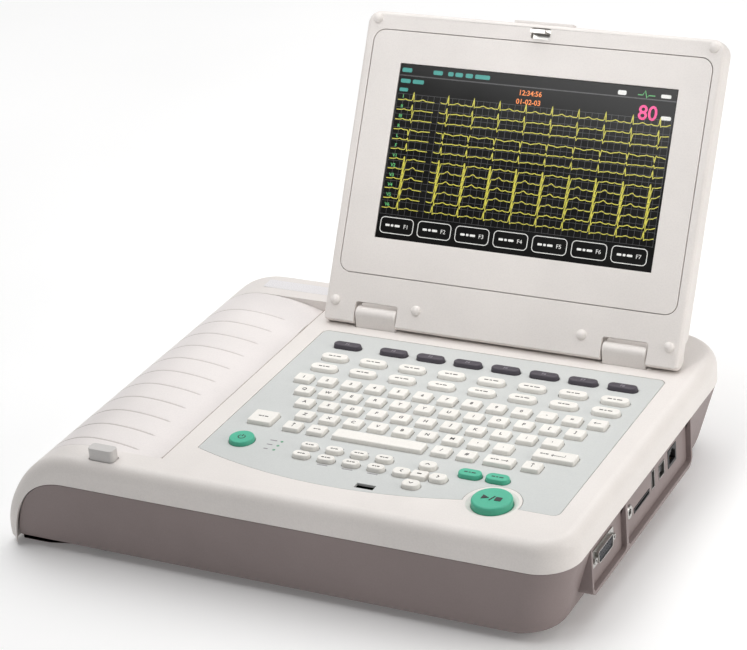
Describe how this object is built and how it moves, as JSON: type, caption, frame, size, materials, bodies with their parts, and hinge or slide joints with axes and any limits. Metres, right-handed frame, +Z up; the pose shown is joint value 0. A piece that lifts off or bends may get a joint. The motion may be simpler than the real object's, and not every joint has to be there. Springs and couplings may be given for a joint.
{
  "type": "ecg machine",
  "caption": "Portable twelve-lead ECG machine: keypad deck with a tilting screen lid, side-hinged printer cover and connector panel.",
  "frame": {"origin": "bottom centre of the whole machine's box, lid at its rest tilt, on the surface it stands on", "axes": "+X to the machine's right, +Y to its back, +Z up"},
  "size_m": [0.437, 0.3789, 0.2923],
  "materials": {
    "shell_white": "fine satin moulded ABS",
    "shell_grey": "fine satin moulded ABS",
    "cover_white": "fine satin moulded ABS",
    "panel_grey": "matt printed membrane",
    "key_white": "satin caps",
    "key_dark": "satin caps",
    "key_green": "satin caps",
    "screen_glass": "gloss screen window",
    "display": "dark display module",
    "circuit_board": "solder mask",
    "black_plastic": "moulded",
    "power_block": "vented enclosure",
    "steel": "plated",
    "head_metal": "extruded",
    "brass": "machined",
    "rubber": "matt",
    "paper": "coated recording paper",
    "gear_plastic": "acetal",
    "battery_case": "wrapped cells"
  },
  "bodies": {
    "root": {"base_shell": "shell_grey", "top_shell": "shell_white", "keypad_panel": "panel_grey", "foot_front_left": "rubber", "foot_front_right": "rubber", "foot_back_left": "rubber", "foot_back_right": "rubber", "battery_door": "shell_grey", "keypad_board": "circuit_board", "main_board": "circuit_board", "power_supply": "power_block", "battery_pack": "battery_case", "printer_chassis": "black_plastic", "thermal_print_head": "head_metal", "stepper_motor": "steel", "cover_hinge_rod": "steel", "release_spring": "steel", "ecg_connector": "steel", "aux_jack": "steel", "card_slot": "black_plastic", "usb_host_port": "steel", "usb_device_port": "steel", "lan_port": "black_plastic", "mains_inlet": "black_plastic", "hinge_knuckle_left": "shell_white", "hinge_knuckle_right": "shell_white", "hinge_pin_left": "steel", "hinge_pin_right": "steel"},
    "cover": {"printer_cover": "cover_white"},
    "platen": {"platen_roller": "rubber", "platen_gear": "gear_plastic"},
    "idler": {"idler_gear": "gear_plastic"},
    "pinion": {"motor_pinion": "brass"},
    "paper": {"paper_roll": "paper", "paper_core": "black_plastic"},
    "release": {"release_button": "shell_white"},
    "lid": {"lid_frame": "shell_white", "lid_bezel": "shell_white", "lid_back": "shell_white", "display_window": "screen_glass", "display_panel": "display"},
    "latch": {"latch_slider": "steel"},
    "number_keys": {"number_keys": "key_white"},
    "upper_letter_keys": {"upper_letter_keys": "key_white"},
    "middle_letter_keys": {"middle_letter_keys": "key_white"},
    "lower_letter_keys": {"lower_letter_keys": "key_white"},
    "left_modifier_keys": {"left_modifier_keys": "key_white"},
    "space_key": {"space_key": "key_white"},
    "right_modifier_keys": {"right_modifier_keys": "key_white"},
    "enter_key": {"enter_key": "key_white"},
    "esc_key": {"esc_key": "key_white"},
    "function_keys": {"function_keys": "key_dark"},
    "upper_menu_keys": {"upper_menu_keys": "key_white"},
    "lower_menu_keys": {"lower_menu_keys": "key_white"},
    "option_keys": {"option_keys": "key_white"},
    "arrow_keys": {"arrow_keys": "key_white"},
    "mode_key": {"mode_key": "key_green"},
    "copy_key": {"copy_key": "key_green"},
    "power_key": {"power_key": "key_green"},
    "start_key": {"start_key": "key_green"}
  },
  "joints": [
    {"name": "lid_hinge", "type": "hinge", "parent": "root", "child": "lid", "pos_m": [0.06, 0.0664, 0.0905], "axis": [1, 0, 0], "range_deg": [-15, 119.4]},
    {"name": "latch_slide", "type": "slide", "parent": "lid", "child": "latch", "axis": [0, -0.4909, -0.8712], "range_m": [0, 0.002], "stiffness_N_per_m": 600, "springref_m": -0.001},
    {"name": "cover_hinge", "type": "hinge", "parent": "root", "child": "cover", "pos_m": [-0.2081, -0.0364, 0.0337], "axis": [0, -1, 0], "range_deg": [0, 100]},
    {"name": "platen_spin", "type": "hinge", "parent": "cover", "child": "platen", "pos_m": [-0.101, -0.0484, 0.06], "axis": [0, 1, 0], "continuous": true},
    {"name": "idler_spin", "type": "hinge", "parent": "root", "child": "idler", "pos_m": [-0.11008, 0.0676, 0.04428], "axis": [0, 1, 0], "continuous": true},
    {"name": "pinion_spin", "type": "hinge", "parent": "root", "child": "pinion", "pos_m": [-0.12406, 0.0676, 0.03621], "axis": [0, 1, 0], "continuous": true},
    {"name": "paper_spin", "type": "hinge", "parent": "root", "child": "paper", "pos_m": [-0.155, -0.0484, 0.037], "axis": [0, 1, 0], "continuous": true},
    {"name": "release_press", "type": "slide", "parent": "root", "child": "release", "axis": [0, 0, -1], "range_m": [0, 0.003], "stiffness_N_per_m": 600, "springref_m": -0.001, "deforming": ["release_spring"]},
    {"name": "number_keys_press", "type": "slide", "parent": "root", "child": "number_keys", "axis": [0, 0, -1], "range_m": [0, 0.0014], "stiffness_N_per_m": 1500, "springref_m": -0.0005},
    {"name": "upper_letter_keys_press", "type": "slide", "parent": "root", "child": "upper_letter_keys", "axis": [0, 0, -1], "range_m": [0, 0.0014], "stiffness_N_per_m": 1500, "springref_m": -0.0005},
    {"name": "middle_letter_keys_press", "type": "slide", "parent": "root", "child": "middle_letter_keys", "axis": [0, 0, -1], "range_m": [0, 0.0014], "stiffness_N_per_m": 1500, "springref_m": -0.0005},
    {"name": "lower_letter_keys_press", "type": "slide", "parent": "root", "child": "lower_letter_keys", "axis": [0, 0, -1], "range_m": [0, 0.0014], "stiffness_N_per_m": 1500, "springref_m": -0.0005},
    {"name": "left_modifier_keys_press", "type": "slide", "parent": "root", "child": "left_modifier_keys", "axis": [0, 0, -1], "range_m": [0, 0.0014], "stiffness_N_per_m": 1500, "springref_m": -0.0005},
    {"name": "space_key_press", "type": "slide", "parent": "root", "child": "space_key", "axis": [0, 0, -1], "range_m": [0, 0.0014], "stiffness_N_per_m": 1500, "springref_m": -0.0005},
    {"name": "right_modifier_keys_press", "type": "slide", "parent": "root", "child": "right_modifier_keys", "axis": [0, 0, -1], "range_m": [0, 0.0014], "stiffness_N_per_m": 1500, "springref_m": -0.0005},
    {"name": "enter_key_press", "type": "slide", "parent": "root", "child": "enter_key", "axis": [0, 0, -1], "range_m": [0, 0.0014], "stiffness_N_per_m": 1500, "springref_m": -0.0005},
    {"name": "esc_key_press", "type": "slide", "parent": "root", "child": "esc_key", "axis": [0, 0, -1], "range_m": [0, 0.0014], "stiffness_N_per_m": 1500, "springref_m": -0.0005},
    {"name": "function_keys_press", "type": "slide", "parent": "root", "child": "function_keys", "axis": [0, 0, -1], "range_m": [0, 0.0014], "stiffness_N_per_m": 1500, "springref_m": -0.0005},
    {"name": "upper_menu_keys_press", "type": "slide", "parent": "root", "child": "upper_menu_keys", "axis": [0, 0, -1], "range_m": [0, 0.0014], "stiffness_N_per_m": 1500, "springref_m": -0.0005},
    {"name": "lower_menu_keys_press", "type": "slide", "parent": "root", "child": "lower_menu_keys", "axis": [0, 0, -1], "range_m": [0, 0.0014], "stiffness_N_per_m": 1500, "springref_m": -0.0005},
    {"name": "option_keys_press", "type": "slide", "parent": "root", "child": "option_keys", "axis": [0, 0, -1], "range_m": [0, 0.0014], "stiffness_N_per_m": 1500, "springref_m": -0.0005},
    {"name": "arrow_keys_press", "type": "slide", "parent": "root", "child": "arrow_keys", "axis": [0, 0, -1], "range_m": [0, 0.0014], "stiffness_N_per_m": 1500, "springref_m": -0.0005},
    {"name": "mode_key_press", "type": "slide", "parent": "root", "child": "mode_key", "axis": [0, 0, -1], "range_m": [0, 0.0014], "stiffness_N_per_m": 1500, "springref_m": -0.0005},
    {"name": "copy_key_press", "type": "slide", "parent": "root", "child": "copy_key", "axis": [0, 0, -1], "range_m": [0, 0.0014], "stiffness_N_per_m": 1500, "springref_m": -0.0005},
    {"name": "power_key_press", "type": "slide", "parent": "root", "child": "power_key", "axis": [0, 0, -1], "range_m": [0, 0.0014], "stiffness_N_per_m": 1500, "springref_m": -0.0005},
    {"name": "start_key_press", "type": "slide", "parent": "root", "child": "start_key", "axis": [0, 0, -1], "range_m": [0, 0.0014], "stiffness_N_per_m": 1500, "springref_m": -0.0005}
  ],
  "couplings": [
    {"joint": "idler_spin", "follows": "platen_spin", "ratio": -0.8},
    {"joint": "pinion_spin", "follows": "platen_spin", "ratio": 1.3333}
  ]
}
